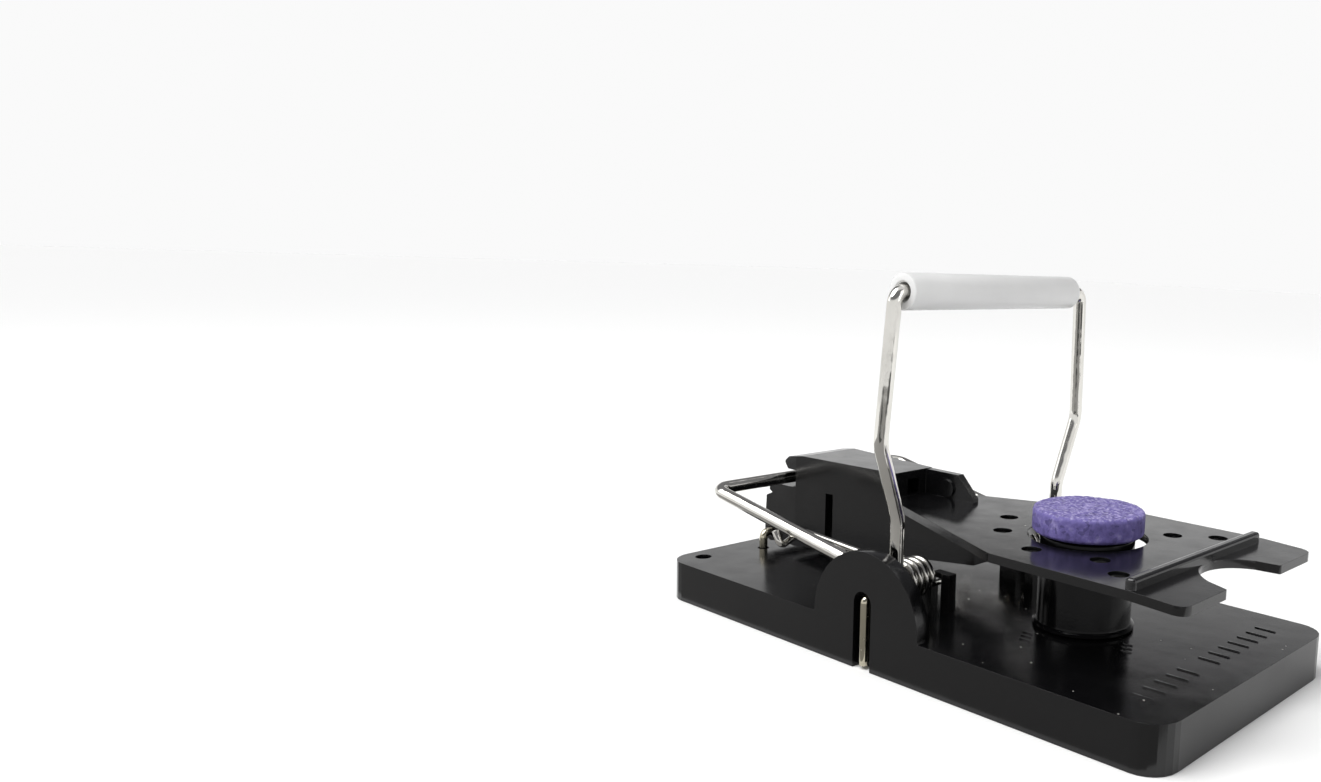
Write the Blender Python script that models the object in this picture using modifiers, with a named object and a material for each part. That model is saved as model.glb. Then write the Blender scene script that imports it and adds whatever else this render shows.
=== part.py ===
"""Snap mouse trap with a moulded base, a wire kill frame and a hinged treadle.

Units are metres and +Z is up.  The origin is the centre of the base's underside.
+X runs to the bait end, and +Y runs across the trap.  The trap is set: the kill
frame stands up, and its lever bar is held under the treadle's latch nose.
"""

import math

import bmesh
import bpy
from mathutils import Vector

# Driving dimensions of the base
BASE_LENGTH = 0.1000
BASE_WIDTH = 0.0500
BASE_HEIGHT = 0.0067
BASE_CORNER = 0.0044
BASE_SKIN = 0.0020
POCKET_X = ((-0.0425, -0.0065), (0.0080, 0.0470))
POCKET_Y = (0.0010, 0.0222)
NAIL_HOLE = (-0.0465, 0.0198)
NAIL_RADIUS = 0.0014

# Ears and the axle that they carry
EAR_X = -0.0006
EAR_Z = 0.0072
EAR_RADIUS = 0.01075
EAR_THICK = 0.0025
SLOT_X = -0.0010
SLOT_TOP = 0.0119
SLOT_WIDTH = 0.0036
SLOT_DEPTH = 0.0017
AXLE_X = -0.0012
AXLE_Z = 0.0107
AXLE_RADIUS = 0.00075
AXLE_LEG_Y = 0.0242
AXLE_LEG_FOOT = 0.0005
AXLE_END_Y = 0.0100
SADDLE_X = (-0.0031, 0.0005)
SADDLE_RISE = 0.0004
AXLE_HOLE_RADIUS = 0.00105

# Kill frame: one wire, from the grip bar down each leg, under the axle and out to the lever bar
WIRE_RADIUS = 0.0011
HOOK_RADIUS = 0.00195
GRIP_BAR = (0.0018, 0.0229, 0.0560)
LEG_BEND = (0.0012, 0.0244, 0.0340)
LEG_KNEE = (0.0009, 0.0200, 0.0225)
LEG_Y = 0.0199
LEVER_Y = 0.0209
LEVER_RISE_Z = 0.0135
LEVER_BAR = (-0.0403, 0.0220, 0.0203)
BUTT_GAP = 0.0004

# Sleeve on the grip bar
SLEEVE_RADIUS = 0.0027
SLEEVE_BORE = 0.0014
SLEEVE_HALF = 0.0203
SLEEVE_SHIFT = -0.0012
GRIP_BEND = 0.0018

# Torsion springs
SPRING_WIRE = 0.00055
SPRING_RADIUS = 0.0027
SPRING_PITCH = 0.00130
SPRING_TURNS = 4.28
SPRING_OUTER_Y = 0.0181
SPRING_LIFT = 0.0012
SPRING_STEPS = 60
TAIL_END_Y = 0.0100
TAIL_DROP = 0.0003
CATCH_WIDTH = 0.0016
CATCH_THICK = 0.0008
HOOK_END = (-0.0223, 0.0238, 0.0168)
HOOK_LOW = (-0.0210, 0.0238, 0.0144)
ARM_END = (-0.0224, 0.0158)

# Treadle
HINGE_X = -0.0442
HINGE_Z = 0.0096
HINGE_WIRE = 0.00075
HINGE_BORE = 0.00095
HINGE_LEG_Y = 0.0083
KNUCKLE_RADIUS = 0.0018
PLATE_TOP = 0.0205
PLATE_THICK = 0.0013
PLATE_TIP_X = 0.0487
PLATE_HALF = 0.0193
BLOCK_TOP = 0.0248
BLOCK_LEFT_HALF = 0.0065
BLOCK_RIGHT_X = -0.0148
BLOCK_RIGHT_HALF = 0.0045
BLOCK_FOOT = (0.0080, 0.0127)
SKIRT_X = 0.0030
RIDGE_X = 0.0405
RIDGE_Y = (-0.0190, 0.0170)
RIDGE_TOP = 0.0220
RIDGE_EDGE = 0.0005
TIP_SLOPE = 0.05
NOTCH_X = 0.0490
NOTCH_DEPTH = 0.0078
NOTCH_HALF = 0.0080
NOSE_UNDER = 0.0220
JAW_TOP = 0.0188
MOUTH_BACK = -0.0377
CHEEK_Y = 0.0031
CAVITY_X = (-0.0358, -0.0163)
CAVITY_Z = (0.0060, 0.0235)
CAVITY_HALF = 0.0050
BLOCK_WALL = 0.0014
WINDOW = ((-0.0170, -0.0014, 0.0208), (-0.0140, 0.0014, 0.0234))
SIDE_NOTCH = ((-0.0304, -0.0080, 0.0060), (-0.0287, -0.0040, 0.0189))
BOSS = (-0.0097, 0.0221)
PLATE_HOLE_RADIUS = 0.0015
CENTRE_HOLE_X = 0.0062
PLATE_HOLES = ((0.0108, 0.0074), (0.0203, 0.0127), (0.0302, 0.0100), (0.0358, 0.0140))

# Bait
BAIT_X = 0.0213
BAIT_HOLE_RADIUS = 0.0092
PEDESTAL_RADIUS = 0.0072
TABLET_RADIUS = 0.0085
TABLET_BASE = 0.0211
TABLET_HEIGHT = 0.0038
SPIGOT_RADIUS = 0.0022

GAP = 0.0003
MERGE = 0.00001
SIDES = (("near", -1), ("far", 1))


def clear_scene():
    for old in list(bpy.data.objects):
        bpy.data.objects.remove(old, do_unlink=True)


def new_collection(name):
    collection = bpy.data.collections.new(name)
    bpy.context.scene.collection.children.link(collection)
    return collection


def new_material(name, colour, roughness, metallic=0.0):
    material = bpy.data.materials.new(name)
    material.use_nodes = True
    shader = material.node_tree.nodes["Principled BSDF"]
    shader.inputs["Base Color"].default_value = (*colour, 1.0)
    shader.inputs["Roughness"].default_value = roughness
    shader.inputs["Metallic"].default_value = metallic
    return material


def keep(piece, name, collection, material=None):
    """Name a new object and move it to its own collection."""
    piece.name = name
    piece.data.name = name
    for owner in list(piece.users_collection):
        owner.objects.unlink(piece)
    collection.objects.link(piece)
    if material:
        piece.data.materials.clear()
        piece.data.materials.append(material)
    return piece


def as_mesh(curve_object):
    """Replace a curve object by its mesh, with the caps welded on."""
    depsgraph = bpy.context.evaluated_depsgraph_get()
    mesh = bpy.data.meshes.new_from_object(curve_object.evaluated_get(depsgraph))
    shape = bmesh.new()
    shape.from_mesh(mesh)
    bmesh.ops.remove_doubles(shape, verts=shape.verts, dist=MERGE)
    bmesh.ops.recalc_face_normals(shape, faces=shape.faces)
    shape.to_mesh(mesh)
    shape.free()
    name = curve_object.name
    place = curve_object.matrix_world.copy()
    bpy.data.objects.remove(curve_object, do_unlink=True)
    piece = bpy.data.objects.new(name, mesh)
    piece.matrix_world = place
    bpy.context.scene.collection.objects.link(piece)
    return piece


def arc(centre, radius, start, end, steps):
    """Points of a flat arc, with its angles in degrees."""
    points = []
    for step in range(steps + 1):
        angle = math.radians(start + (end - start) * step / steps)
        points.append((centre[0] + radius * math.cos(angle), centre[1] + radius * math.sin(angle)))
    return points


def fillet(corners, steps=5, closed=False):
    """Round the corners of a path.  Each corner is a point and its radius."""
    path = []
    count = len(corners)
    for index, (corner, radius) in enumerate(corners):
        corner = Vector(corner)
        is_end = index in (0, count - 1) and not closed
        if radius == 0.0 or is_end:
            path.append(corner)
            continue
        back = (Vector(corners[index - 1][0]) - corner).normalized()
        ahead = (Vector(corners[(index + 1) % count][0]) - corner).normalized()
        half = back.angle(ahead) / 2
        middle = corner + (back + ahead).normalized() * radius / math.sin(half)
        first = corner + back * radius / math.tan(half) - middle
        last = corner + ahead * radius / math.tan(half) - middle
        turn = first.angle(last)
        for step in range(steps + 1):
            part = step / steps
            weight_first = math.sin((1 - part) * turn) / math.sin(turn)
            weight_last = math.sin(part * turn) / math.sin(turn)
            path.append(middle + first * weight_first + last * weight_last)
    return path


def flat_curve(name, loops, thickness):
    """A flat outline, with any further loops as holes, extruded to its thickness about Z = 0."""
    data = bpy.data.curves.new(name, "CURVE")
    data.dimensions = "2D"
    data.fill_mode = "BOTH"
    data.extrude = thickness / 2
    for loop in loops:
        spline = data.splines.new("POLY")
        spline.points.add(len(loop) - 1)
        spline.use_cyclic_u = True
        for point, place in zip(spline.points, loop):
            point.co = (place[0], place[1], 0.0, 1.0)
    piece = bpy.data.objects.new(name, data)
    bpy.context.scene.collection.objects.link(piece)
    return piece


def flat_slab(name, loops, bottom, top):
    """A slab lying in the XY plane between two heights."""
    piece = flat_curve(name, loops, top - bottom)
    piece.location.z = (bottom + top) / 2
    bpy.context.view_layer.update()
    return as_mesh(piece)


def side_slab(name, loops, low_y, high_y):
    """A slab with its outline in the XZ plane, standing between two Y values."""
    piece = flat_curve(name, loops, high_y - low_y)
    piece.rotation_euler.x = math.radians(90)
    piece.location.y = (low_y + high_y) / 2
    bpy.context.view_layer.update()
    return as_mesh(piece)


def box(name, low, high):
    size = [high[axis] - low[axis] for axis in range(3)]
    middle = [(high[axis] + low[axis]) / 2 for axis in range(3)]
    bpy.ops.mesh.primitive_cube_add(size=1, location=middle)
    piece = bpy.context.active_object
    piece.scale = size
    bpy.ops.object.transform_apply(location=False, rotation=False, scale=True)
    piece.name = name
    return piece


def post(name, radius, bottom, top, x, y, sides=24):
    """A cylinder that stands along Z."""
    bpy.ops.mesh.primitive_cylinder_add(
        vertices=sides, radius=radius, depth=top - bottom, location=(x, y, (bottom + top) / 2))
    piece = bpy.context.active_object
    piece.name = name
    return piece


def cross_bar(name, radius, half, x, z, sides=24):
    """A cylinder that lies along Y across the trap."""
    bpy.ops.mesh.primitive_cylinder_add(
        vertices=sides, radius=radius, depth=2 * half, location=(x, 0, z),
        rotation=(math.radians(90), 0, 0))
    piece = bpy.context.active_object
    piece.name = name
    return piece


def combine(target, tool, operation, tools):
    """Add a Boolean to the target, and put its tool out of sight."""
    keep(tool, tool.name, tools)
    tool.hide_render = True
    tool.display_type = "WIRE"
    modifier = target.modifiers.new(tool.name, "BOOLEAN")
    modifier.operation = operation
    modifier.solver = "EXACT"
    modifier.object = tool


def bent_wire(name, points, radius, collection, material):
    """A round wire along a path, with closed ends."""
    data = bpy.data.curves.new(name, "CURVE")
    data.dimensions = "3D"
    data.bevel_depth = radius
    data.bevel_resolution = 2
    data.use_fill_caps = True
    spline = data.splines.new("POLY")
    spline.points.add(len(points) - 1)
    for point, place in zip(spline.points, points):
        point.co = (*place, 1.0)
    piece = bpy.data.objects.new(name, data)
    return keep(piece, name, collection, material)


def pivot(name, place, parent=None):
    """An empty on a joint's axis."""
    empty = bpy.data.objects.new(name, None)
    empty.location = place
    empty.empty_display_size = 0.005
    bpy.context.scene.collection.objects.link(empty)
    bpy.context.view_layer.update()
    if parent:
        hang(empty, parent)
    return empty


def hang(piece, empty):
    """Parent a piece to its pivot without moving it."""
    piece.parent = empty
    piece.matrix_parent_inverse = empty.matrix_world.inverted()


def rounded_rectangle(half_x, half_y, radius):
    corners = ((-half_x, -half_y), (half_x, -half_y), (half_x, half_y), (-half_x, half_y))
    return fillet([(corner + (0.0,), radius) for corner in corners], steps=6, closed=True)


def make_base(parts, tools, material):
    """The moulded base: a ribbed tray turned upside down, with an ear on each long side."""
    outline = rounded_rectangle(BASE_LENGTH / 2, BASE_WIDTH / 2, BASE_CORNER)
    base = keep(flat_slab("base", [outline], 0.0, BASE_HEIGHT), "base", parts, material)
    ear = arc((EAR_X, EAR_Z), EAR_RADIUS, 0, 180, 28)
    ear += [(EAR_X - EAR_RADIUS, 0.002), (EAR_X + EAR_RADIUS, 0.002)]
    slot = arc((SLOT_X, SLOT_TOP - SLOT_WIDTH / 2), SLOT_WIDTH / 2, 0, 180, 12)
    slot += [(SLOT_X - SLOT_WIDTH / 2, -0.001), (SLOT_X + SLOT_WIDTH / 2, -0.001)]
    for side, sign in SIDES:
        faces = sorted((sign * BASE_WIDTH / 2, sign * (BASE_WIDTH / 2 - EAR_THICK)))
        combine(base, side_slab("ear_" + side, [ear], *faces), "UNION", tools)
    for side, sign in SIDES:
        faces = sorted((sign * (BASE_WIDTH / 2 + 0.001), sign * (BASE_WIDTH / 2 - SLOT_DEPTH)))
        combine(base, side_slab("slot_" + side, [slot], *faces), "DIFFERENCE", tools)
        hole = post("nail_hole_" + side, NAIL_RADIUS, -0.001, 0.010, NAIL_HOLE[0], sign * NAIL_HOLE[1])
        combine(base, hole, "DIFFERENCE", tools)
        leg_hole = post("staple_hole_" + side, HINGE_WIRE + GAP, -0.001, 0.010, HINGE_X,
                        sign * HINGE_LEG_Y, 16)
        combine(base, leg_hole, "DIFFERENCE", tools)
        for number, (low_x, high_x) in enumerate(POCKET_X):
            low_y, high_y = sorted((sign * POCKET_Y[0], sign * POCKET_Y[1]))
            pocket = box("pocket_%s_%d" % (side, number), (low_x, low_y, -0.001),
                         (high_x, high_y, BASE_HEIGHT - BASE_SKIN))
            combine(base, pocket, "DIFFERENCE", tools)
    tail = coil_point(1.0, 1)
    under = tail.z - TAIL_DROP + SPRING_WIRE + GAP
    left, middle, right = tail.x - 0.0008, tail.x + 0.0010, tail.x + 0.0027
    sunk = BASE_HEIGHT - 0.0010
    catch = [(middle, sunk), (right, sunk), (right, under + CATCH_THICK),
             (left, under + CATCH_THICK), (left, under), (middle, under)]
    for side, sign in SIDES:
        faces = sorted((sign * TAIL_END_Y, sign * (TAIL_END_Y + CATCH_WIDTH)))
        combine(base, side_slab("spring_catch_" + side, [catch], *faces), "UNION", tools)
        saddle = box("axle_saddle_" + side, (SADDLE_X[0], faces[0], sunk),
                     (SADDLE_X[1], faces[1], AXLE_Z + SADDLE_RISE))
        combine(base, saddle, "UNION", tools)
    axle_hole = cross_bar("axle_hole", AXLE_HOLE_RADIUS, BASE_WIDTH / 2 + 0.001, AXLE_X, AXLE_Z, 16)
    combine(base, axle_hole, "DIFFERENCE", tools)
    return base


def make_axle_pins(parts, material):
    """Two axle pins, each from a saddle on the base out through a spring and down into an ear's slot."""
    pins = []
    for side, sign in SIDES:
        corners = [((AXLE_X, sign * AXLE_END_Y, AXLE_Z), 0.0), ((AXLE_X, sign * AXLE_LEG_Y, AXLE_Z), 0.0009),
                   ((AXLE_X, sign * AXLE_LEG_Y, AXLE_LEG_FOOT), 0.0)]
        pins.append(bent_wire("axle_pin_" + side, fillet(corners), AXLE_RADIUS, parts, material))
    return pins


def frame_half(sign):
    """Corners of half the kill frame, from the middle of the grip bar to the middle of the lever bar."""
    grip_x, grip_y, grip_z = GRIP_BAR
    lever_x, lever_y, lever_z = LEVER_BAR
    hook_low = AXLE_Z - HOOK_RADIUS
    return [((grip_x, sign * BUTT_GAP / 2, grip_z), 0.0),
            ((grip_x, sign * grip_y, grip_z), GRIP_BEND),
            ((LEG_BEND[0], sign * LEG_BEND[1], LEG_BEND[2]), 0.0060),
            ((LEG_KNEE[0], sign * LEG_KNEE[1], LEG_KNEE[2]), 0.0060),
            ((AXLE_X + HOOK_RADIUS, sign * LEG_Y, hook_low), HOOK_RADIUS * 0.98),
            ((AXLE_X - HOOK_RADIUS, sign * LEVER_Y, hook_low), HOOK_RADIUS * 0.98),
            ((AXLE_X - HOOK_RADIUS, sign * LEVER_Y, LEVER_RISE_Z), 0.0014),
            ((lever_x, sign * lever_y, lever_z), 0.0024),
            ((lever_x, 0.0, lever_z), 0.0)]


def make_kill_frame(parts, material):
    """Kill bar and setting lever: one wire whose ends meet inside the sleeve."""
    near = fillet(frame_half(-1))
    far = fillet(frame_half(1))
    return bent_wire("kill_frame", near + far[-2::-1], WIRE_RADIUS, parts, material)


def make_sleeve(parts, tools, material):
    """The plastic sleeve, a tube that turns on the grip bar."""
    x, _, z = GRIP_BAR
    sleeve = keep(cross_bar("grip_sleeve", SLEEVE_RADIUS, SLEEVE_HALF, x, z, 32),
                  "grip_sleeve", parts, material)
    sleeve.location.y = SLEEVE_SHIFT
    combine(sleeve, cross_bar("sleeve_bore", SLEEVE_BORE, SLEEVE_HALF + 0.003, x, z, 24),
            "DIFFERENCE", tools)
    return sleeve


def coil_point(share, sign):
    """A point of a spring's coil, from its outer end at the top to its inner end."""
    angle = math.radians(90.0 - 360.0 * SPRING_TURNS * share)
    depth = SPRING_OUTER_Y - SPRING_PITCH * SPRING_TURNS * share
    return Vector((AXLE_X + SPRING_RADIUS * math.cos(angle), sign * depth,
                   AXLE_Z + SPRING_LIFT + SPRING_RADIUS * math.sin(angle)))


def spring_path(sign):
    """From the hooked end under the lever leg, along the leg, round the coil and inward."""
    arm = [((HOOK_END[0], sign * HOOK_END[1], HOOK_END[2]), 0.0),
           ((HOOK_LOW[0], sign * HOOK_LOW[1], HOOK_LOW[2]), 0.0009),
           ((ARM_END[0], sign * SPRING_OUTER_Y, ARM_END[1]), 0.0010),
           (coil_point(0.0, sign), 0.0)]
    path = fillet(arm)[:-1]
    path += [coil_point(step / SPRING_STEPS, sign) for step in range(SPRING_STEPS + 1)]
    tail = coil_point(1.0, sign)
    path.append(tail + Vector((-0.0001, -0.0004 * sign, -TAIL_DROP)))
    path.append(Vector((tail.x - 0.0001, sign * TAIL_END_Y, tail.z - TAIL_DROP)))
    return path


def make_springs(parts, material):
    return [bent_wire("spring_" + side, spring_path(sign), SPRING_WIRE, parts, material)
            for side, sign in SIDES]


def treadle_outline():
    """Half outlines of the plate, mirrored: a taper from the block, straight sides and a notched tip."""
    side = [(-0.0156, 0.0050), (-0.0120, 0.0066), (0.0175, 0.0190), (0.0400, PLATE_HALF)]
    corner = fillet([((0.0400, PLATE_HALF, 0), 0.0), ((PLATE_TIP_X, PLATE_HALF, 0), 0.0018),
                     ((PLATE_TIP_X, 0.0082, 0), 0.0005), ((0.0470, 0.0070, 0), 0.0)])
    notch = arc((NOTCH_X, 0.0), 1.0, 62, 0, 8)
    inner = [(NOTCH_X - NOTCH_DEPTH * (point[0] - NOTCH_X), NOTCH_HALF * point[1]) for point in notch]
    half = side + [(point[0], point[1]) for point in corner[1:-1]] + inner
    return half + [(x, -y) for x, y in reversed(half[:-1])]


def circle(x, y, radius, steps):
    return arc((x, y), radius, 0, 360 - 360 / steps, steps - 1)


def treadle_profile():
    """Side outline of the block: latch nose, mouth, jaw, lug and the round hinge knuckle."""
    left = fillet([((BLOCK_RIGHT_X, BLOCK_TOP, 0), 0.0), ((-0.0362, BLOCK_TOP, 0), 0.0),
                   ((-0.0396, BLOCK_TOP - 0.0005, 0), 0.0007),
                   ((-0.0408, 0.0233, 0), 0.0005), ((-0.0398, NOSE_UNDER, 0), 0.0002),
                   ((MOUTH_BACK, NOSE_UNDER, 0), 0.0003), ((MOUTH_BACK, JAW_TOP, 0), 0.0005),
                   ((-0.0446, JAW_TOP, 0), 0.0005), ((-0.0449, 0.0174, 0), 0.0),
                   ((-0.0441, 0.0169, 0), 0.0), ((-0.0457, 0.0162, 0), 0.0003),
                   ((-0.0460, 0.0112, 0), 0.0)], steps=3)
    knuckle = arc((HINGE_X, HINGE_Z), KNUCKLE_RADIUS, 180, 325, 12)
    right = [(-0.0380, BLOCK_FOOT[0]), (SKIRT_X, BLOCK_FOOT[1]),
             (SKIRT_X, PLATE_TOP - PLATE_THICK / 2), (BLOCK_RIGHT_X, PLATE_TOP - PLATE_THICK / 2)]
    return [(point[0], point[1]) for point in left] + knuckle + right


def block_half(x, inset=0.0):
    """Half width of the block at a given X: it narrows towards the plate."""
    share = min(max((x - MOUTH_BACK) / (BLOCK_RIGHT_X - MOUTH_BACK), 0.0), 1.0)
    return BLOCK_LEFT_HALF + (BLOCK_RIGHT_HALF - BLOCK_LEFT_HALF) * share - inset


def narrow(piece, inset=0.0):
    """Bring a block's sides in towards the plate, cut first where the taper starts and ends."""
    shape = bmesh.new()
    shape.from_mesh(piece.data)
    for x in (MOUTH_BACK, BLOCK_RIGHT_X):
        bmesh.ops.bisect_plane(shape, geom=shape.verts[:] + shape.edges[:] + shape.faces[:],
                               plane_co=(x, 0, 0), plane_no=(1, 0, 0), dist=MERGE)
    for vertex in shape.verts:
        vertex.co.y = math.copysign(block_half(vertex.co.x, inset), vertex.co.y)
    shape.to_mesh(piece.data)
    shape.free()
    return piece


def world_mesh(piece):
    """Put a piece's place into its mesh, so that its origin is the world's."""
    piece.data.transform(piece.matrix_world)
    piece.matrix_world.identity()
    return piece


def make_plate():
    """The flat plate with its holes, its tip bent down a little past the ridge."""
    loops = [treadle_outline(), circle(BAIT_X, 0.0, BAIT_HOLE_RADIUS, 40),
             circle(CENTRE_HOLE_X, 0.0, PLATE_HOLE_RADIUS, 14)]
    for x, y in PLATE_HOLES:
        loops += [circle(x, side * y, PLATE_HOLE_RADIUS, 14) for side in (1, -1)]
    plate = world_mesh(flat_slab("treadle", loops, PLATE_TOP - PLATE_THICK, PLATE_TOP))
    shape = bmesh.new()
    shape.from_mesh(plate.data)
    bmesh.ops.bisect_plane(shape, geom=shape.verts[:] + shape.edges[:] + shape.faces[:],
                           plane_co=(RIDGE_X, 0, 0), plane_no=(1, 0, 0), dist=MERGE)
    for vertex in shape.verts:
        vertex.co.z -= max(vertex.co.x - RIDGE_X, 0.0) * TIP_SLOPE
    shape.to_mesh(plate.data)
    shape.free()
    return plate


def make_treadle(parts, tools, material):
    """The treadle: latch block, plate, ridge and hinge knuckle in one moulding."""
    treadle = keep(make_plate(), "treadle", parts, material)
    block = world_mesh(side_slab("block", [treadle_profile()], -BLOCK_LEFT_HALF, BLOCK_LEFT_HALF))
    combine(treadle, narrow(block), "UNION", tools)
    cavity = world_mesh(box("cavity", (CAVITY_X[0], -CAVITY_HALF, CAVITY_Z[0]),
                            (CAVITY_X[1], CAVITY_HALF, CAVITY_Z[1])))
    combine(treadle, narrow(cavity, BLOCK_WALL), "DIFFERENCE", tools)
    cheek = [(-0.0160, 0.0198), (-0.0040, 0.0198), (-0.0040, 0.0211), (-0.0075, BLOCK_TOP - 0.0001),
             (-0.0160, BLOCK_TOP - 0.0001)]
    combine(treadle, side_slab("cheek", [cheek], CHEEK_Y, CHEEK_Y + BLOCK_WALL), "UNION", tools)
    ridge = box("ridge", (RIDGE_X - 0.0008, RIDGE_Y[0], PLATE_TOP - 0.0008),
                (RIDGE_X + 0.0008, RIDGE_Y[1], RIDGE_TOP))
    rounding = ridge.modifiers.new("edge", "BEVEL")
    rounding.width = RIDGE_EDGE
    rounding.segments = 3
    combine(treadle, ridge, "UNION", tools)
    combine(treadle, box("window", *WINDOW), "DIFFERENCE", tools)
    combine(treadle, box("side_notch", *SIDE_NOTCH), "DIFFERENCE", tools)
    bore = cross_bar("hinge_bore", HINGE_BORE, BLOCK_LEFT_HALF + 0.001, HINGE_X, HINGE_Z, 20)
    combine(treadle, bore, "DIFFERENCE", tools)
    boss = circle(*BOSS, 0.0015, 20)
    combine(treadle, side_slab("boss", [boss], CHEEK_Y - 0.0004, CHEEK_Y + 0.0005), "UNION", tools)
    return treadle


def make_treadle_staple(parts, material):
    """The staple that hinges the treadle, with both legs down through the base."""
    corners = [((HINGE_X, -HINGE_LEG_Y, 0.0030), 0.0), ((HINGE_X, -HINGE_LEG_Y, HINGE_Z), 0.0011),
               ((HINGE_X, HINGE_LEG_Y, HINGE_Z), 0.0011), ((HINGE_X, HINGE_LEG_Y, 0.0030), 0.0)]
    return bent_wire("treadle_staple", fillet(corners), HINGE_WIRE, parts, material)


def make_pedestal(parts, tools, material):
    """The bait pedestal: a round post with a foot ring and a short spigot for the tablet."""
    foot = BASE_HEIGHT + GAP
    pedestal = keep(post("bait_pedestal", PEDESTAL_RADIUS, foot, TABLET_BASE - GAP, BAIT_X, 0.0, 40),
                    "bait_pedestal", parts, material)
    ring = post("foot_ring", PEDESTAL_RADIUS + 0.0005, foot, foot + 0.0006, BAIT_X, 0.0, 40)
    combine(pedestal, ring, "UNION", tools)
    spigot = post("spigot", SPIGOT_RADIUS, TABLET_BASE - 0.0010, TABLET_BASE + 0.0012, BAIT_X, 0.0, 20)
    combine(pedestal, spigot, "UNION", tools)
    return pedestal


def make_tablet(parts, tools, material):
    """The pressed bait tablet, with a recess under it for the spigot."""
    tablet = keep(post("bait_tablet", TABLET_RADIUS, TABLET_BASE, TABLET_BASE + TABLET_HEIGHT, BAIT_X, 0.0, 40),
                  "bait_tablet", parts, material)
    recess = post("recess", SPIGOT_RADIUS + 0.0004, TABLET_BASE - 0.001, TABLET_BASE + 0.0016, BAIT_X, 0.0, 20)
    combine(tablet, recess, "DIFFERENCE", tools)
    bevel = tablet.modifiers.new("edge", "BEVEL")
    bevel.width = 0.0005
    bevel.segments = 2
    bevel.limit_method = "ANGLE"
    return tablet


def build():
    clear_scene()
    parts = new_collection("snap_mouse_trap")
    tools = new_collection("cutters")
    black = new_material("black_plastic", (0.030, 0.031, 0.033), 0.42)
    pedestal_black = new_material("pedestal_plastic", (0.022, 0.023, 0.026), 0.35)
    chrome = new_material("bright_wire", (0.72, 0.71, 0.68), 0.18, 1.0)
    nickel = new_material("staple_wire", (0.60, 0.57, 0.48), 0.32, 1.0)
    spring_steel = new_material("spring_wire", (0.62, 0.61, 0.58), 0.22, 1.0)
    sleeve_white = new_material("sleeve_plastic", (0.80, 0.80, 0.79), 0.40)
    bait = new_material("bait", (0.235, 0.175, 0.560), 0.70)

    make_base(parts, tools, black)
    make_axle_pins(parts, nickel)
    kill_axis = pivot("kill_axis", (AXLE_X, 0.0, AXLE_Z))
    hang(make_kill_frame(parts, chrome), kill_axis)
    sleeve_axis = pivot("sleeve_axis", (GRIP_BAR[0], 0.0, GRIP_BAR[2]), kill_axis)
    hang(make_sleeve(parts, tools, sleeve_white), sleeve_axis)
    make_springs(parts, spring_steel)
    treadle_axis = pivot("treadle_axis", (HINGE_X, 0.0, HINGE_Z))
    hang(make_treadle(parts, tools, black), treadle_axis)
    make_treadle_staple(parts, nickel)
    make_pedestal(parts, tools, pedestal_black)
    tablet_axis = pivot("tablet_axis", (BAIT_X, 0.0, TABLET_BASE))
    hang(make_tablet(parts, tools, bait), tablet_axis)


build()
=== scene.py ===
import math

import bpy
from mathutils import Matrix, Vector, noise


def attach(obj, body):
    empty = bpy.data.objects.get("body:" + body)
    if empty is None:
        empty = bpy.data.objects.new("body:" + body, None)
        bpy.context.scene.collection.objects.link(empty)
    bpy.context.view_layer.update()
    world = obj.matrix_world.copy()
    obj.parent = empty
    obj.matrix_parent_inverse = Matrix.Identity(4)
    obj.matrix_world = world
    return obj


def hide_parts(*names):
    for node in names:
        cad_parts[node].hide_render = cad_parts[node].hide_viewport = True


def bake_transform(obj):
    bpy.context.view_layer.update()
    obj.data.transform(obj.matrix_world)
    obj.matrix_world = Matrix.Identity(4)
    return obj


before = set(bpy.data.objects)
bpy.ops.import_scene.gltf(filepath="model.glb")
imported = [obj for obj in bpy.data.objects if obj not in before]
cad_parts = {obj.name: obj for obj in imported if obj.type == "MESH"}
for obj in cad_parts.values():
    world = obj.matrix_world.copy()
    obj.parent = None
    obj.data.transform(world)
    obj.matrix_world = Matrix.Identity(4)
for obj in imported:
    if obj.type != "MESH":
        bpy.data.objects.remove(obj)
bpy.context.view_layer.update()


# Base: one injection moulding of black ABS, open underneath, with an ear on each long side for
# the axle.  The mould leaves slightly rounded edges and a satin skin with a fine sparked grain.
# Plain raised bars are moulded into its free top.

BASE_EDGE = 0.00028
BASE_TOP = 0.0067
LARGE_FACE = 0.000004
WELD = 0.000002
SMOOTH_BELOW = math.radians(42)
BAR_ROW_X = 0.0428
BAR_PLACES = 13
BAR_LEFT_OUT = 5
BAR_PITCH = 0.0030
BAR_LENGTH = 0.0034
BAR_WIDTH = 0.00042
BAR_RISE = 0.00016
BAR_SUNK = 0.0004
SHORT_BARS = ((0.0312, -0.0030), (0.0182, -0.0098))
SHORT_BAR_LENGTH = 0.0018
SHORT_BAR_STEP = (0.0007, -0.0013)


def make_active(piece):
    bpy.ops.object.select_all(action="DESELECT")
    piece.select_set(True)
    bpy.context.view_layer.objects.active = piece


def linear(hex_colour):
    """An sRGB hex colour as linear RGBA."""
    channels = [int(hex_colour[start:start + 2], 16) / 255 for start in (1, 3, 5)]
    return [value / 12.92 if value <= 0.04045 else ((value + 0.055) / 1.055) ** 2.4
            for value in channels] + [1.0]


def add_node(tree, kind, sockets=None, **settings):
    """Add a node with its settings.  A socket takes a value, or another node's output."""
    node = tree.nodes.new(kind)
    for name, value in settings.items():
        setattr(node, name, value)
    for name, value in (sockets or {}).items():
        if isinstance(value, bpy.types.NodeSocket):
            tree.links.new(value, node.inputs[name])
        else:
            node.inputs[name].default_value = value
    return node


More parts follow.
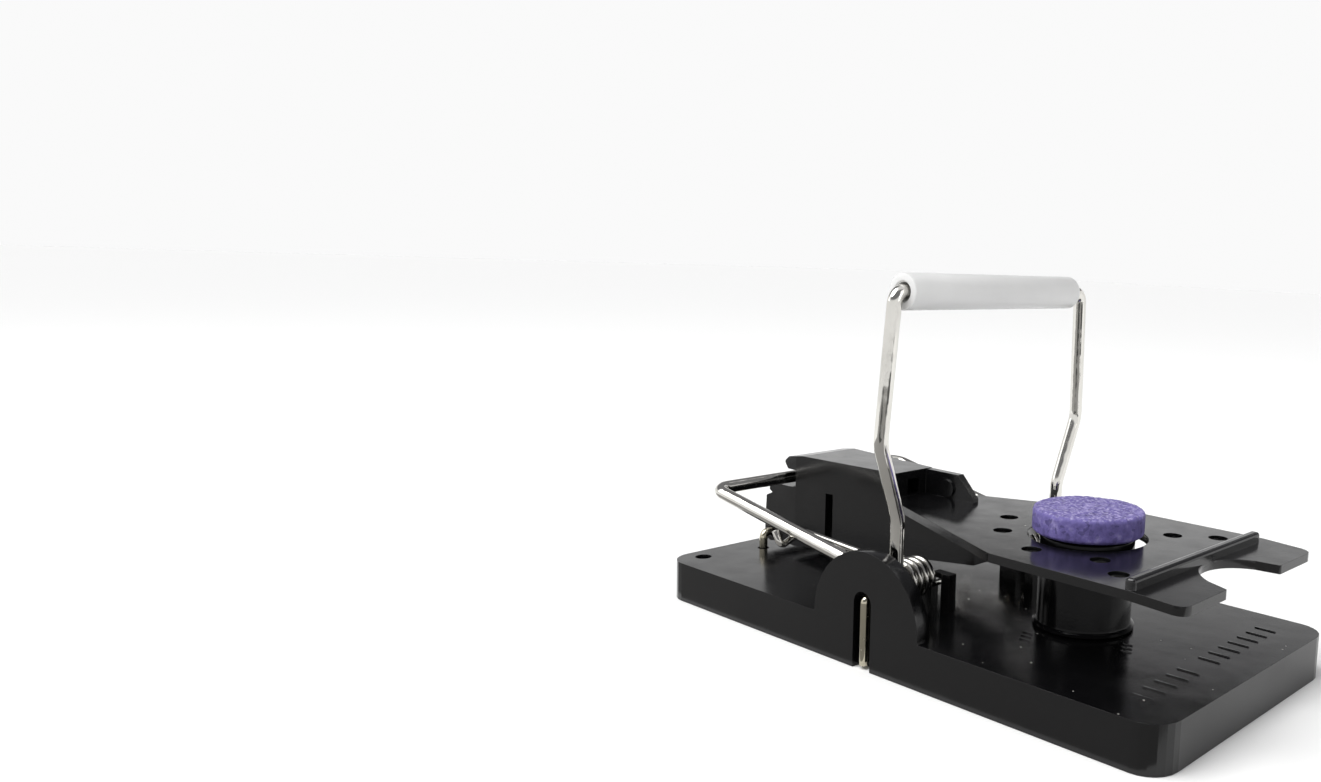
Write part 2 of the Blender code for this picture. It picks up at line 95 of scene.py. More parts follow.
def new_finish(name, **sockets):
    """A material named for what it is, its shader with values or outputs on its own sockets."""
    material = bpy.data.materials.new(name)
    material.use_nodes = True
    tree = material.node_tree
    for socket, value in sockets.items():
        tree.nodes["Principled BSDF"].inputs[socket.replace("_", " ")].default_value = value
    place = add_node(tree, "ShaderNodeTexCoord").outputs["Object"]
    return material, tree, tree.nodes["Principled BSDF"], place


def finish_piece(piece, name, material, body, node):
    """Give a finished piece its name, material and body, and the CAD node that it stands for."""
    piece.name = name
    piece.data.name = name
    piece.data.materials.clear()
    piece.data.materials.append(material)
    if body:
        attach(piece, body)
    if node:
        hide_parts(node)


def apply_all(piece):
    make_active(piece)
    for modifier in list(piece.modifiers):
        bpy.ops.object.modifier_apply(modifier=modifier.name)


def round_edges(piece, width, sharp=30.0, segments=3):
    """Round every edge sharper than an angle, as the mould or a deburring tool leaves it."""
    bevel = piece.modifiers.new("edge", "BEVEL")
    bevel.width = width
    bevel.segments = segments
    bevel.limit_method = "ANGLE"
    bevel.angle_limit = math.radians(sharp)
    bevel.miter_outer = "MITER_ARC"
    apply_all(piece)
    bpy.ops.object.shade_smooth_by_angle(angle=SMOOTH_BELOW)


def rounded_copy(node, edge):
    """A copy of a node's moulding, welded into clean faces, with its sharp edges rounded.  Faces
    larger than LARGE_FACE, in square metres, stay flat."""
    piece = bpy.data.objects.new(node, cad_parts[node].data.copy())
    bpy.context.scene.collection.objects.link(piece)
    make_active(piece)
    bpy.ops.object.mode_set(mode="EDIT")
    bpy.ops.mesh.select_all(action="SELECT")
    bpy.ops.mesh.remove_doubles(threshold=WELD)
    bpy.ops.mesh.dissolve_limited(angle_limit=math.radians(0.4))
    bpy.ops.object.mode_set(mode="OBJECT")
    round_edges(piece, edge)
    for face in piece.data.polygons:
        if face.area > LARGE_FACE:
            face.use_smooth = False
    return piece


def raised_bar(x, y, length, width, top):
    """A plain bar moulded proud of the surface, its top edges rounded."""
    bpy.ops.object.select_all(action="DESELECT")
    bpy.ops.mesh.primitive_cube_add(size=1, location=(x, y, top - BAR_SUNK / 2 + BAR_RISE / 2))
    bar = bpy.context.active_object
    bar.scale = (length, width, BAR_SUNK + BAR_RISE)
    bpy.ops.object.transform_apply(location=True, rotation=True, scale=True)
    round_edges(bar, BAR_RISE * 0.7, segments=2)
    return bar


def join(pieces):
    make_active(pieces[0])
    for piece in pieces:
        piece.select_set(True)
    bpy.ops.object.join()
    return bpy.context.active_object


def black_plastic(name, dark, light, roughness, grain_mm, dust, specular):
    """Moulded ABS: flow marks shift its black a little, sparked grain breaks up the gloss,
    handling leaves dull patches, and pale dust lies on faces that look up."""
    material, tree, shader, place = new_finish(name, IOR=1.54, Specular_IOR_Level=specular)
    flow = add_node(tree, "ShaderNodeTexNoise", {"Vector": place, "Scale": 70.0, "Detail": 3.0})
    body = add_node(tree, "ShaderNodeMix", {"Factor": flow.outputs["Fac"], 6: linear(dark),
                                            7: linear(light)}, data_type="RGBA")
    cells = add_node(tree, "ShaderNodeTexVoronoi", {"Vector": place, "Scale": 620.0})
    speck = add_node(tree, "ShaderNodeMath", {0: cells.outputs["Distance"], 1: 0.085},
                     operation="LESS_THAN")
    chance = add_node(tree, "ShaderNodeSeparateColor", {"Color": cells.outputs["Color"]})
    chosen = add_node(tree, "ShaderNodeMath", {0: chance.outputs["Red"], 1: 1.0 - dust},
                      operation="GREATER_THAN")
    normal = add_node(tree, "ShaderNodeSeparateXYZ",
                      {"Vector": add_node(tree, "ShaderNodeNewGeometry").outputs["True Normal"]})
    upward = add_node(tree, "ShaderNodeMath", {0: normal.outputs["Z"], 1: 0.6},
                      operation="GREATER_THAN")
    dusty = add_node(tree, "ShaderNodeMath", {0: speck.outputs[0], 1: chosen.outputs[0]},
                     operation="MULTIPLY")
    lying = add_node(tree, "ShaderNodeMath", {0: dusty.outputs[0], 1: upward.outputs[0]},
                     operation="MULTIPLY")
    colour = add_node(tree, "ShaderNodeMix", {"Factor": lying.outputs[0], 6: body.outputs[2],
                                              7: linear("#a9a8a2")}, data_type="RGBA")
    tree.links.new(colour.outputs[2], shader.inputs["Base Color"])
    rub = add_node(tree, "ShaderNodeTexNoise", {"Vector": place, "Scale": 240.0, "Detail": 4.0})
    gloss = add_node(tree, "ShaderNodeMapRange",
                     {"Value": rub.outputs["Fac"], "From Min": 0.3, "From Max": 0.7,
                      "To Min": roughness[0], "To Max": roughness[1]})
    tree.links.new(gloss.outputs["Result"], shader.inputs["Roughness"])
    grain = add_node(tree, "ShaderNodeTexNoise", {"Vector": place, "Scale": 1000.0 / grain_mm,
                                                  "Detail": 2.0})
    wave = add_node(tree, "ShaderNodeBump", {"Height": flow.outputs["Fac"], "Strength": 0.10,
                                             "Distance": 0.0006})
    bump = add_node(tree, "ShaderNodeBump", {"Height": grain.outputs["Fac"], "Strength": 0.22,
                                             "Distance": 0.00003, "Normal": wave.outputs[0]})
    tree.links.new(bump.outputs[0], shader.inputs["Normal"])
    return material


base_plastic = black_plastic("moulded_black_ABS_base", "#060607", "#0d0d0e",
                             roughness=(0.12, 0.22), grain_mm=0.25, dust=0.16, specular=0.40)
base = rounded_copy("base", BASE_EDGE)
finish_piece(base, "base_moulding", base_plastic, "base", "base")

bars = [raised_bar(BAR_ROW_X, (step - BAR_PLACES // 2) * BAR_PITCH, BAR_LENGTH, BAR_WIDTH, BASE_TOP)
        for step in range(BAR_PLACES) if step != BAR_LEFT_OUT]
for x, y in SHORT_BARS:
    bars += [raised_bar(x + step * SHORT_BAR_STEP[0], y + step * SHORT_BAR_STEP[1],
                        SHORT_BAR_LENGTH, BAR_WIDTH * 0.8, BASE_TOP)
             for step in range(3)]
finish_piece(join(bars), "base_raised_bars", base_plastic, "base", None)


# Axle pins: two nickel-plated mild steel wires of 1.5 mm.  Each lies in a saddle on the base, runs
# out through a spring and an ear, and turns down into the ear's slot, where its foot shows.

AXLE = (-0.0012, 0.0107)
AXLE_RADIUS = 0.00075
AXLE_END_Y = 0.0100
AXLE_LEG_Y = 0.0242
AXLE_FOOT_Z = 0.0005
AXLE_BEND = 0.0009


def bend_path(corners, step=5.0):
    """Points of a wire's centre line: each corner is a point and the radius that it is bent to."""
    path = [Vector(corners[0][0])]
    for index in range(1, len(corners) - 1):
        corner, radius = Vector(corners[index][0]), corners[index][1]
        back = (Vector(corners[index - 1][0]) - corner).normalized()
        ahead = (Vector(corners[index + 1][0]) - corner).normalized()
        half = back.angle(ahead) / 2
        middle = corner + (back + ahead).normalized() * radius / math.sin(half)
        first = corner + back * radius / math.tan(half) - middle
        last = corner + ahead * radius / math.tan(half) - middle
        turn = first.angle(last)
        count = max(int(math.degrees(turn) / step), 2)
        for number in range(count + 1):
            share = number / count
            path.append(middle + (first * math.sin((1 - share) * turn)
                                  + last * math.sin(share * turn)) / math.sin(turn))
    return path + [Vector(corners[-1][0])]


def round_wire(path, radius, sides=7):
    """A round wire along a path, made a mesh, its cut ends lightly deburred."""
    bpy.ops.object.select_all(action="DESELECT")
    bpy.ops.curve.primitive_nurbs_path_add(location=(0, 0, 0))
    wire = bpy.context.active_object
    wire.data.splines.clear()
    spline = wire.data.splines.new("POLY")
    spline.points.add(len(path) - 1)
    for point, place in zip(spline.points, path):
        point.co = (*place, 1.0)
    wire.data.bevel_depth = radius
    wire.data.bevel_resolution = sides
    wire.data.use_fill_caps = True
    make_active(wire)
    bpy.ops.object.convert(target="MESH")
    bpy.ops.object.mode_set(mode="EDIT")
    bpy.ops.mesh.select_all(action="SELECT")
    bpy.ops.mesh.remove_doubles(threshold=WELD)
    bpy.ops.mesh.normals_make_consistent(inside=False)
    bpy.ops.object.mode_set(mode="OBJECT")
    round_edges(wire, radius * 0.16, sharp=60.0, segments=2)
    return wire


def plated_wire(name, dark, light, roughness, wobble):
    """Drawn steel wire, plated bright: drawing leaves a slight waviness that breaks up its
    reflections, and the plating has small dull specks where tools gripped it."""
    material, tree, shader, place = new_finish(name, Metallic=1.0)
    tone = add_node(tree, "ShaderNodeTexNoise", {"Vector": place, "Scale": 160.0, "Detail": 4.0})
    colour = add_node(tree, "ShaderNodeMix", {"Factor": tone.outputs["Fac"], 6: linear(dark),
                                              7: linear(light)}, data_type="RGBA")
    tree.links.new(colour.outputs[2], shader.inputs["Base Color"])
    marks = add_node(tree, "ShaderNodeTexNoise", {"Vector": place, "Scale": 900.0, "Detail": 3.0})
    dull = add_node(tree, "ShaderNodeMapRange",
                    {"Value": marks.outputs["Fac"], "From Min": 0.50, "From Max": 0.78,
                     "To Min": roughness[0], "To Max": roughness[1]})
    tree.links.new(dull.outputs["Result"], shader.inputs["Roughness"])
    wave = add_node(tree, "ShaderNodeTexNoise", {"Vector": place, "Scale": 330.0, "Detail": 1.0})
    bump = add_node(tree, "ShaderNodeBump", {"Height": wave.outputs["Fac"], "Strength": wobble,
                                             "Distance": 0.0005})
    tree.links.new(bump.outputs[0], shader.inputs["Normal"])
    return material


nickel = plated_wire("nickel_plated_staple_wire", "#a39d8b", "#c9c3b1",
                     roughness=(0.07, 0.30), wobble=0.08)
axle_x, axle_z = AXLE
for side, name in ((-1, "near"), (1, "far")):
    pin_corners = [((axle_x, side * AXLE_END_Y, axle_z), 0.0),
                   ((axle_x, side * AXLE_LEG_Y, axle_z), AXLE_BEND),
                   ((axle_x, side * AXLE_LEG_Y, AXLE_FOOT_Z), 0.0)]
    finish_piece(round_wire(bend_path(pin_corners), AXLE_RADIUS), name + "_axle_wire", nickel,
                 "base", "axle_pin_" + name)


# Torsion springs: two coils of bright drawn spring steel wire of 1.1 mm, one left-hand and one
# right-hand, on the axle.  One arm of each lies under a lever leg and hooks round it, and the
# other runs inwards under the treadle to its catch on the base.

SPRING_WIRE = 0.00055
SPRING_RADIUS = 0.0027
SPRING_PITCH = 0.00130
SPRING_TURNS = 4.28
SPRING_OUTER_Y = 0.0181
SPRING_CENTRE_Z = AXLE[1] + 0.0012
SPRING_TAIL_Y = 0.0100
TAIL_DROP = 0.0003
TAIL_SET = 0.0001
TAIL_LEAD = 0.0004
HOOK_END = (-0.0223, 0.0238, 0.0168)
HOOK_LOW = (-0.0210, 0.0238, 0.0144)
ARM_END = (-0.0224, 0.0158)
HOOK_CURVE = 0.0009
ARM_CURVE = 0.0010
COIL_STEPS = 220


def coil_point(share, side):
    """A point of a coil, from its outer end at the top to its inner end."""
    angle = math.radians(90.0 - 360.0 * SPRING_TURNS * share)
    return Vector((AXLE[0] + SPRING_RADIUS * math.cos(angle),
                   side * (SPRING_OUTER_Y - SPRING_PITCH * SPRING_TURNS * share),
                   SPRING_CENTRE_Z + SPRING_RADIUS * math.sin(angle)))


def spring_path(side):
    """From the hooked end under the lever leg, along the leg, round the coil and inward."""
    arm = [((HOOK_END[0], side * HOOK_END[1], HOOK_END[2]), 0.0),
           ((HOOK_LOW[0], side * HOOK_LOW[1], HOOK_LOW[2]), HOOK_CURVE),
           ((ARM_END[0], side * SPRING_OUTER_Y, ARM_END[1]), ARM_CURVE),
           (coil_point(0.0, side), 0.0)]
    end = coil_point(1.0, side)
    return (bend_path(arm)[:-1]
            + [coil_point(step / COIL_STEPS, side) for step in range(COIL_STEPS + 1)]
            + [end + Vector((-TAIL_SET, -TAIL_LEAD * side, -TAIL_DROP)),
               Vector((end.x - TAIL_SET, side * SPRING_TAIL_Y, end.z - TAIL_DROP))])


spring_steel = plated_wire("bright_spring_steel_wire", "#a5a39e", "#d8d6d1",
                           roughness=(0.10, 0.30), wobble=0.10)
for side, name in ((-1, "near"), (1, "far")):
    spring = round_wire(spring_path(side), SPRING_WIRE, sides=5)
    finish_piece(spring, name + "_torsion_spring", spring_steel, None, "spring_" + name)
    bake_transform(spring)


# Kill frame: one 2.2 mm steel wire, zinc-plated and bright, bent to the grip bar, the cranked
# legs, the hooks under the axle and the lever bar.  Its two ends butt together in the sleeve.

FRAME_WIRE = 0.0011
HOOK_BEND = 0.00195
GRIP_BAR = (0.0018, 0.0229, 0.0560)
LEG_BEND = (0.0012, 0.0244, 0.0340)
LEG_KNEE = (0.0009, 0.0200, 0.0225)
LEG_Y = 0.0199
LEVER_Y = 0.0209
LEVER_RISE_Z = 0.0135
LEVER_BAR = (-0.0403, 0.0220, 0.0203)
BUTT_GAP = 0.0004
GRIP_BEND = 0.0018
LEG_CURVE = 0.0060
LEVER_KNEE = 0.0014
LEVER_BEND = 0.0024


def frame_corners(side):
    """Half the kill frame, from the butt in the grip bar to the middle of the lever bar."""
    grip_x, grip_y, grip_z = GRIP_BAR
    lever_x, lever_y, lever_z = LEVER_BAR
    hook_z = AXLE[1] - HOOK_BEND
    return [((grip_x, side * BUTT_GAP / 2, grip_z), 0.0),
            ((grip_x, side * grip_y, grip_z), GRIP_BEND),
            ((LEG_BEND[0], side * LEG_BEND[1], LEG_BEND[2]), LEG_CURVE),
            ((LEG_KNEE[0], side * LEG_KNEE[1], LEG_KNEE[2]), LEG_CURVE),
            ((AXLE[0] + HOOK_BEND, side * LEG_Y, hook_z), HOOK_BEND * 0.98),
            ((AXLE[0] - HOOK_BEND, side * LEVER_Y, hook_z), HOOK_BEND * 0.98),
            ((AXLE[0] - HOOK_BEND, side * LEVER_Y, LEVER_RISE_Z), LEVER_KNEE),
            ((lever_x, side * lever_y, lever_z), LEVER_BEND),
            ((lever_x, 0.0, lever_z), 0.0)]


bright_zinc = plated_wire("bright_zinc_plated_frame_wire", "#c8c6c0", "#e6e4df",
                          roughness=(0.07, 0.24), wobble=0.14)
near_half = bend_path(frame_corners(-1))
far_half = bend_path(frame_corners(1))
finish_piece(round_wire(near_half + far_half[-2::-1], FRAME_WIRE, sides=10), "kill_frame_wire",
             bright_zinc, "kill_bar", "kill_frame")


# Grip sleeve: a cut length of extruded milky polyethylene tube, free to turn on the grip bar.
# The thick wall shows as a ring at each cut end, and the skin has faint lengthwise die lines.

SLEEVE_RADIUS = 0.0027
SLEEVE_BORE = 0.0014
SLEEVE_HALF = 0.0203
SLEEVE_SHIFT = -0.0012
SLEEVE_EDGE = 0.00025


def turned(profile, centre, axis, steps=64):
    """Spin a closed or axis-to-axis profile, given as (radius, height) pairs, about an axis."""
    along = Vector(axis)
    out = Vector((1, 0, 0))
    places = [Vector(centre) + out * radius + along * height for radius, height in profile]
    bpy.ops.object.select_all(action="DESELECT")
    bpy.ops.mesh.primitive_plane_add(size=0.001, location=(0, 0, 0))
    piece = bpy.context.active_object
    bpy.ops.object.mode_set(mode="EDIT")
    bpy.ops.mesh.merge(type="CENTER")
    bpy.ops.transform.translate(value=places[0])
    for last, place in zip(places, places[1:]):
        bpy.ops.mesh.extrude_region_move(TRANSFORM_OT_translate={"value": place - last})
    bpy.ops.mesh.select_all(action="SELECT")
    bpy.ops.mesh.spin(steps=steps, angle=math.radians(360), center=centre, axis=axis)
    bpy.ops.mesh.select_all(action="SELECT")
    bpy.ops.mesh.remove_doubles(threshold=2 * WELD)
    bpy.ops.mesh.normals_make_consistent(inside=False)
    bpy.ops.object.mode_set(mode="OBJECT")
    bpy.ops.object.shade_smooth_by_angle(angle=SMOOTH_BELOW)
    return piece


sleeve_plastic, tree, shader, place = new_finish(
    "extruded_milky_polyethylene", IOR=1.51, Roughness=0.34, Subsurface_Weight=0.12,
    Subsurface_Scale=0.0012, Subsurface_Radius=(1.0, 1.0, 1.0))
cloud = add_node(tree, "ShaderNodeTexNoise", {"Vector": place, "Scale": 120.0, "Detail": 3.0})
milk = add_node(tree, "ShaderNodeMix", {"Factor": cloud.outputs["Fac"], 6: linear("#cccccb"),
                                        7: linear("#dcdcdb")}, data_type="RGBA")
tree.links.new(milk.outputs[2], shader.inputs["Base Color"])
stretch = add_node(tree, "ShaderNodeMapping", {"Vector": place, "Scale": (1.0, 0.03, 1.0)})
lines = add_node(tree, "ShaderNodeTexNoise", {"Vector": stretch.outputs[0], "Scale": 2600.0})
drawn = add_node(tree, "ShaderNodeBump", {"Height": lines.outputs["Fac"], "Strength": 0.25,
                                          "Distance": 0.00004})
tree.links.new(drawn.outputs[0], shader.inputs["Normal"])

sleeve_profile = [(SLEEVE_BORE, -SLEEVE_HALF + SLEEVE_EDGE),
                  (SLEEVE_BORE + SLEEVE_EDGE, -SLEEVE_HALF),
                  (SLEEVE_RADIUS - SLEEVE_EDGE, -SLEEVE_HALF),
                  (SLEEVE_RADIUS - SLEEVE_EDGE * 0.3, -SLEEVE_HALF + SLEEVE_EDGE * 0.3),
                  (SLEEVE_RADIUS, -SLEEVE_HALF + SLEEVE_EDGE)]
sleeve_profile += [(radius, -height) for radius, height in reversed(sleeve_profile)]
sleeve = turned(sleeve_profile + sleeve_profile[:1], (GRIP_BAR[0], SLEEVE_SHIFT, GRIP_BAR[2]),
                (0, 1, 0))
finish_piece(sleeve, "grip_sleeve_tube", sleeve_plastic, "sleeve", "grip_sleeve")


# Treadle staple: the same nickel-plated wire, a narrow U through the treadle's knuckle with both
# legs pressed down into the base, where it is the treadle's hinge pin.

HINGE = (-0.0442, 0.0096)
HINGE_LEG_Y = 0.0083
STAPLE_FOOT_Z = 0.0030
STAPLE_BEND = 0.0011

staple_corners = [((HINGE[0], -HINGE_LEG_Y, STAPLE_FOOT_Z), 0.0),
                  ((HINGE[0], -HINGE_LEG_Y, HINGE[1]), STAPLE_BEND),
                  ((HINGE[0], HINGE_LEG_Y, HINGE[1]), STAPLE_BEND),
                  ((HINGE[0], HINGE_LEG_Y, STAPLE_FOOT_Z), 0.0)]
finish_piece(round_wire(bend_path(staple_corners), AXLE_RADIUS), "treadle_hinge_wire", nickel,
             "base", "treadle_staple")


# Treadle: one moulding of glossier black ABS, with the latch block, the perforated plate and
# the ridge that the sleeve lands on.  The mould was polished, so the plate mirrors what is near.

TREADLE_EDGE = 0.00022
treadle_plastic = black_plastic("moulded_black_ABS_treadle", "#070708", "#0e0e0f",
                                roughness=(0.13, 0.22), grain_mm=0.35, dust=0.03, specular=0.45)
finish_piece(rounded_copy("treadle", TREADLE_EDGE), "treadle_moulding", treadle_plastic,
             "treadle", "treadle")


# Bait pedestal: a turned-looking post of glossy black polystyrene, pressed to the base over a
# foot ring.  Its short spigot holds the tablet.

BAIT_X = 0.0213
POST_RADIUS = 0.0072
POST_FOOT_Z = 0.0070
TABLET_BASE = 0.0211
SPIGOT_RADIUS = 0.0022

post_top = TABLET_BASE - 0.0003
post_profile = [(0.0, POST_FOOT_Z), (POST_RADIUS + 0.0005, POST_FOOT_Z),
                (POST_RADIUS + 0.0005, POST_FOOT_Z + 0.0004),
                (POST_RADIUS + 0.0004, POST_FOOT_Z + 0.0005),
                (POST_RADIUS + 0.0001, POST_FOOT_Z + 0.0006), (POST_RADIUS, POST_FOOT_Z + 0.0009),
                (POST_RADIUS, post_top - 0.0003), (POST_RADIUS - 0.0001, post_top - 0.0001),
                (POST_RADIUS - 0.0003, post_top), (SPIGOT_RADIUS, post_top),
                (SPIGOT_RADIUS, TABLET_BASE + 0.0010), (SPIGOT_RADIUS - 0.0002, TABLET_BASE + 0.0012),
                (0.0, TABLET_BASE + 0.0012)]
pedestal_plastic = black_plastic("moulded_gloss_polystyrene_post", "#050506", "#0a0a0b",
                                 roughness=(0.12, 0.20), grain_mm=0.5, dust=0.02, specular=0.12)
post = turned(post_profile, (BAIT_X, 0, 0), (0, 0, 1), 96)
finish_piece(post, "bait_post", pedestal_plastic, "base", "bait_pedestal")


# Bait tablet: purple bait powder pressed in a die, 17 mm across.  The side follows the die, the
# top is crumbly where the punch pulled away, and the dye sits in darker grains.

TABLET_RADIUS = 0.0085
TABLET_TOP = 0.0249
TABLET_EDGE = 0.0006
SOCKET_ROOM = 0.0004
SOCKET_DEPTH = 0.0016
VOXEL = 0.00017
CRUMB_DEPTH = 0.0007
CRUMB_FADE = 0.0006
LUMP = 0.00011
FINE_LUMP = 0.00006
PIT = 0.0005
TOP_WEAR = 0.00009
CORE_RADIUS = 0.004
CHIP = 0.0006
SIDE_GRAIN = 0.00004
SIDE_WEAR = 0.00004

tablet_profile = [(0.0, TABLET_TOP), (TABLET_RADIUS - TABLET_EDGE, TABLET_TOP),
                  (TABLET_RADIUS - TABLET_EDGE * 0.3, TABLET_TOP - TABLET_EDGE * 0.3),
                  (TABLET_RADIUS, TABLET_TOP - TABLET_EDGE), (TABLET_RADIUS, TABLET_BASE + 0.0004),
                  (TABLET_RADIUS - 0.0004, TABLET_BASE), (SPIGOT_RADIUS + SOCKET_ROOM, TABLET_BASE),
                  (SPIGOT_RADIUS + SOCKET_ROOM, TABLET_BASE + SOCKET_DEPTH),
                  (0.0, TABLET_BASE + SOCKET_DEPTH)]
tablet = turned(tablet_profile, (BAIT_X, 0, 0), (0, 0, 1), 96)
remesh = tablet.modifiers.new("press", "REMESH")
remesh.mode = "VOXEL"
remesh.voxel_size = VOXEL
apply_all(tablet)
for vertex in tablet.data.vertices:
    spot = vertex.co.copy()
    flat = Vector((spot.x - BAIT_X, spot.y, 0.0))
    on_top = min(max((spot.z - TABLET_TOP + CRUMB_DEPTH) / CRUMB_FADE, 0.0), 1.0)
    lumps = noise.noise(spot * 420.0) * LUMP + noise.noise(spot * 2300.0) * FINE_LUMP
    pits = min(noise.noise(spot * 1500.0 + Vector((9.0, 4.0, 2.0))) + 0.40, 0.0) * PIT
    vertex.co.z += on_top * (lumps + pits - TOP_WEAR)
    if flat.length > CORE_RADIUS:
        chip = min(noise.noise(spot * 900.0 + Vector((3.0, 7.0, 1.0))) + 0.46, 0.0) * CHIP
        grain = noise.noise(spot * 2400.0) * SIDE_GRAIN
        vertex.co += flat.normalized() * (chip * (0.4 + 0.6 * on_top) + grain - SIDE_WEAR)
make_active(tablet)
bpy.ops.object.shade_smooth()

bait_powder, tree, shader, place = new_finish("pressed_purple_bait_powder", IOR=1.45,
                                              Roughness=0.72)
powder = add_node(tree, "ShaderNodeTexNoise", {"Vector": place, "Scale": 520.0, "Detail": 5.0,
                                               "Roughness": 0.65})
tint = add_node(tree, "ShaderNodeValToRGB", {"Fac": powder.outputs["Fac"]})
tint.color_ramp.elements[0].position = 0.30
tint.color_ramp.elements[0].color = linear("#51487e")
tint.color_ramp.elements[1].position = 0.72
tint.color_ramp.elements[1].color = linear("#938aba")
middle = tint.color_ramp.elements.new(0.52)
middle.color = linear("#675d9b")
grains = add_node(tree, "ShaderNodeTexVoronoi", {"Vector": place, "Scale": 1500.0})
dark_grain = add_node(tree, "ShaderNodeMapRange",
                      {"Value": add_node(tree, "ShaderNodeSeparateColor",
                                         {"Color": grains.outputs["Color"]}).outputs["Green"],
                       "From Min": 0.80, "From Max": 0.95, "To Min": 0.0, "To Max": 0.65})
speckled = add_node(tree, "ShaderNodeMix", {"Factor": dark_grain.outputs["Result"],
                                            6: tint.outputs["Color"], 7: linear("#3f3868")},
                    data_type="RGBA")
# Pale lilac specks on faces that look up are painted sparkle highlights, where the crumbly top
# catches the light.
facing = add_node(tree, "ShaderNodeSeparateXYZ",
                  {"Vector": add_node(tree, "ShaderNodeNewGeometry").outputs["Normal"]})
sparkle_noise = add_node(tree, "ShaderNodeTexNoise", {"Vector": place, "Scale": 1900.0, "Detail": 3.0})
sparkle_specks = add_node(tree, "ShaderNodeMapRange", {"Value": sparkle_noise.outputs["Fac"], "From Min": 0.47,
                                              "From Max": 0.66, "To Min": 0.0, "To Max": 0.62})
lit_top_mask = add_node(tree, "ShaderNodeMapRange", {"Value": facing.outputs["Z"], "From Min": 0.55,
                                                 "From Max": 0.95, "To Min": 0.0, "To Max": 1.0})
pale = add_node(tree, "ShaderNodeMath", {0: sparkle_specks.outputs["Result"],
                                         1: lit_top_mask.outputs["Result"]}, operation="MULTIPLY")
tablet_with_sparkle = add_node(tree, "ShaderNodeMix", {"Factor": pale.outputs[0], 6: speckled.outputs[2],
                                          7: linear("#bdb5da")}, data_type="RGBA")
tree.links.new(tablet_with_sparkle.outputs[2], shader.inputs["Base Color"])
crumb = add_node(tree, "ShaderNodeTexNoise", {"Vector": place, "Scale": 2600.0, "Detail": 3.0})
rough = add_node(tree, "ShaderNodeBump", {"Height": crumb.outputs["Fac"], "Strength": 0.35,
                                          "Distance": 0.00012})
tree.links.new(rough.outputs[0], shader.inputs["Normal"])
finish_piece(tablet, "pressed_bait_tablet", bait_powder, "bait", "bait_tablet")


# Studio: a pale floor and surround, a soft sun, three soft boxes for the wire, and the camera
# close to the trap at its bait end.  Cards on the floor and a flag behind it, which show only in
# reflections, hold down what the glossy plastic and the wire mirror.

CARD_LIFT = 0.0002
FLAG_PLACE = (-0.386, 0.460, 0.225)
FLAG_TURN = 40
FLAG_SIZE = (0.11, 0.075)
SUN_STRENGTH = 2.9
SUN_SPREAD = 50
SUN_TILT = (28, -18)
PALE_BELOW = 0.27
GREY_ABOVE = 0.36
CAMERA_PLACE = (0.10913, -0.13311, 0.06106)
CAMERA_AZIMUTH = 38.65
CAMERA_ELEVATION = 7.84
CAMERA_ROLL = 2.52
CAMERA_LENS = 29.42
CAMERA_SHIFT = (-0.2545, 0.0132)

bpy.ops.object.select_all(action="DESELECT")
bpy.ops.mesh.primitive_plane_add(size=6, location=(0, 0, -0.00005))
floor = bpy.context.active_object
floor.name = "studio_floor"
floor_paint = new_finish("matt_white_floor", Roughness=0.9, Base_Color=linear("#f2f2f1"),
                         Specular_IOR_Level=0.1)[0]
floor.data.materials.append(floor_paint)


def soft_box(name, place, target, width, height, power):
    """A rectangular area light that faces a target."""
    light = bpy.data.objects.new(name, bpy.data.lights.new(name, "AREA"))
    light.data.shape = "RECTANGLE"
    light.data.size, light.data.size_y = width, height
    light.data.energy = power
    light.location = place
    light.rotation_euler = (Vector(target) - Vector(place)).to_track_quat("-Z", "Y").to_euler()
    bpy.context.scene.collection.objects.link(light)


soft_box("left_soft_box", (-0.35, -0.30, 0.35), (0, 0, 0.02), 0.30, 0.45, 0.6)
soft_box("top_soft_box", (0.05, 0.10, 0.60), (0, 0, 0.02), 0.50, 0.50, 0.5)
soft_box("right_soft_box", (0.45, 0.15, 0.25), (0, 0, 0.02), 0.20, 0.40, 0.35)


def only_in_reflections(piece):
    piece.visible_camera = False
    piece.visible_diffuse = False
    piece.visible_shadow = False


def card(name, corner, far_corner, colour, height=0.0):
    """A level card over the floor that only mirror-like surfaces pick up."""
    bpy.ops.object.select_all(action="DESELECT")
    middle = [(low + high) / 2 for low, high in zip(corner, far_corner)]
    bpy.ops.mesh.primitive_plane_add(size=1, location=(*middle, height))
    sheet = bpy.context.active_object
    sheet.scale = (far_corner[0] - corner[0], far_corner[1] - corner[1], 1)
    bpy.ops.object.transform_apply(location=True, rotation=True, scale=True)
    sheet.name = name
    sheet.data.materials.append(new_finish(name, Roughness=0.8, Base_Color=linear(colour))[0])
    only_in_reflections(sheet)


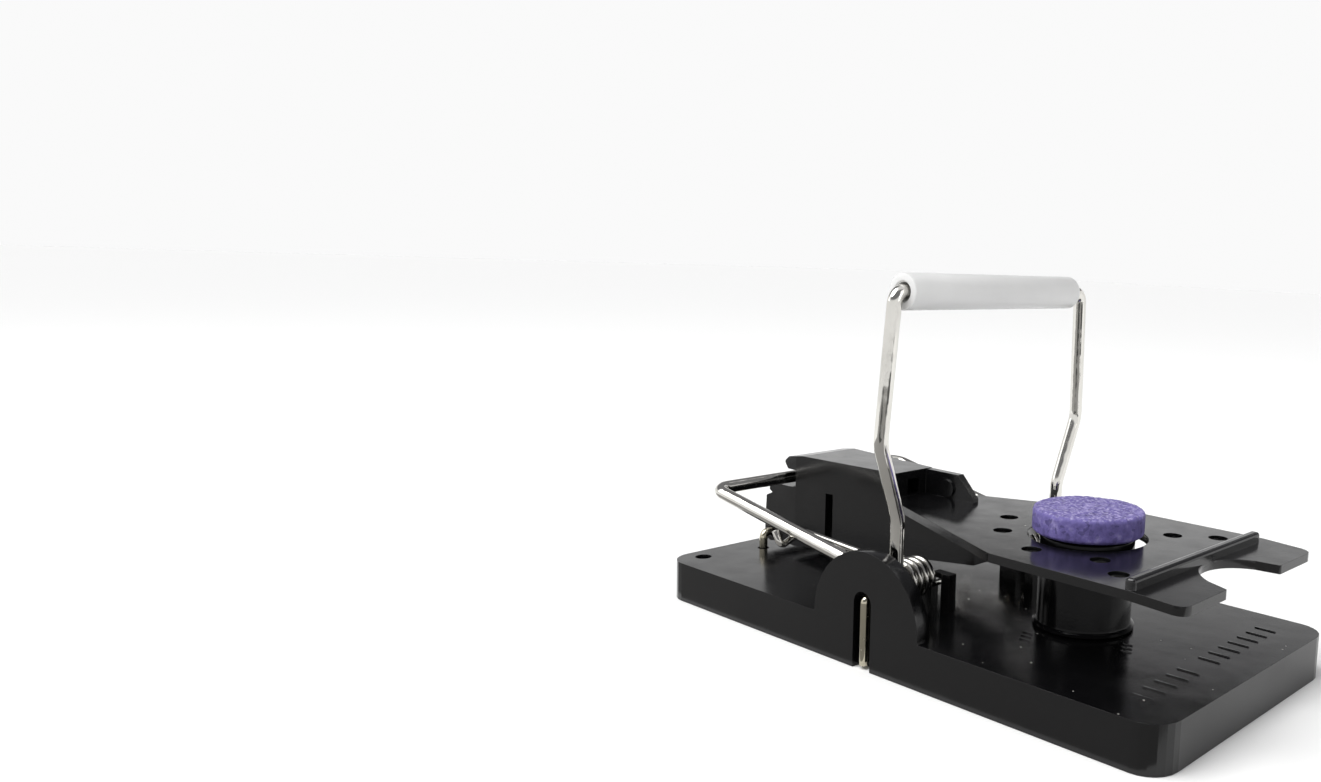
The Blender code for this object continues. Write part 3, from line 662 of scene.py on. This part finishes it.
card("grey_card", (-0.14, -1.2), (0.42, -0.0262), "#8b8a88")
card("dark_card", (0.040, -1.10), (0.160, -0.130), "#1d1d1c", CARD_LIFT)
card("dark_side_card", (0.24, -0.12), (0.50, 0.05), "#2c2c2b", CARD_LIFT)
bpy.ops.object.select_all(action="DESELECT")
bpy.ops.mesh.primitive_plane_add(size=1, location=FLAG_PLACE,
                                 rotation=(math.radians(90), 0, math.radians(FLAG_TURN)))
back_flag = bpy.context.active_object
back_flag.scale = (*FLAG_SIZE, 1)
bpy.ops.object.transform_apply(location=True, rotation=True, scale=True)
back_flag.name = "back_flag"
back_flag.data.materials.append(bpy.data.materials["dark_side_card"])
only_in_reflections(back_flag)


sun = bpy.data.objects.new("soft_sun", bpy.data.lights.new("soft_sun", "SUN"))
sun.data.energy = SUN_STRENGTH
sun.data.angle = math.radians(SUN_SPREAD)
sun.rotation_euler = (math.radians(SUN_TILT[0]), math.radians(SUN_TILT[1]), 0)
bpy.context.scene.collection.objects.link(sun)

world = bpy.data.worlds.new("pale_studio")
world.use_nodes = True
tree = world.node_tree
backdrop = tree.nodes["Background"]
generated = add_node(tree, "ShaderNodeTexCoord").outputs["Generated"]
height = add_node(tree, "ShaderNodeSeparateXYZ", {"Vector": generated})
band = add_node(tree, "ShaderNodeValToRGB", {"Fac": height.outputs["Z"]})
band.color_ramp.elements[0].position = PALE_BELOW
band.color_ramp.elements[0].color = (1.0, 1.0, 1.0, 1)
band.color_ramp.elements[1].position = GREY_ABOVE
band.color_ramp.elements[1].color = (0.22, 0.22, 0.23, 1)
seen = add_node(tree, "ShaderNodeMix",
                {"Factor": add_node(tree, "ShaderNodeLightPath").outputs["Is Camera Ray"],
                 6: band.outputs["Color"], 7: (0.955, 0.955, 0.955, 1)}, data_type="RGBA")
tree.links.new(seen.outputs[2], backdrop.inputs["Color"])
backdrop.inputs["Strength"].default_value = 1.0
bpy.context.scene.world = world
bpy.context.scene.view_settings.view_transform = "Standard"

camera = bpy.data.objects.new("camera", bpy.data.cameras.new("camera"))
camera.data.sensor_width = 36.0
camera.data.lens = CAMERA_LENS
camera.data.shift_x, camera.data.shift_y = CAMERA_SHIFT
camera.data.clip_start = 0.005
camera.matrix_world = (Matrix.Translation(CAMERA_PLACE)
                       @ Matrix.Rotation(math.radians(CAMERA_AZIMUTH), 4, "Z")
                       @ Matrix.Rotation(math.radians(90 - CAMERA_ELEVATION), 4, "X")
                       @ Matrix.Rotation(math.radians(CAMERA_ROLL), 4, "Z"))
bpy.context.scene.collection.objects.link(camera)
bpy.context.scene.camera = camera
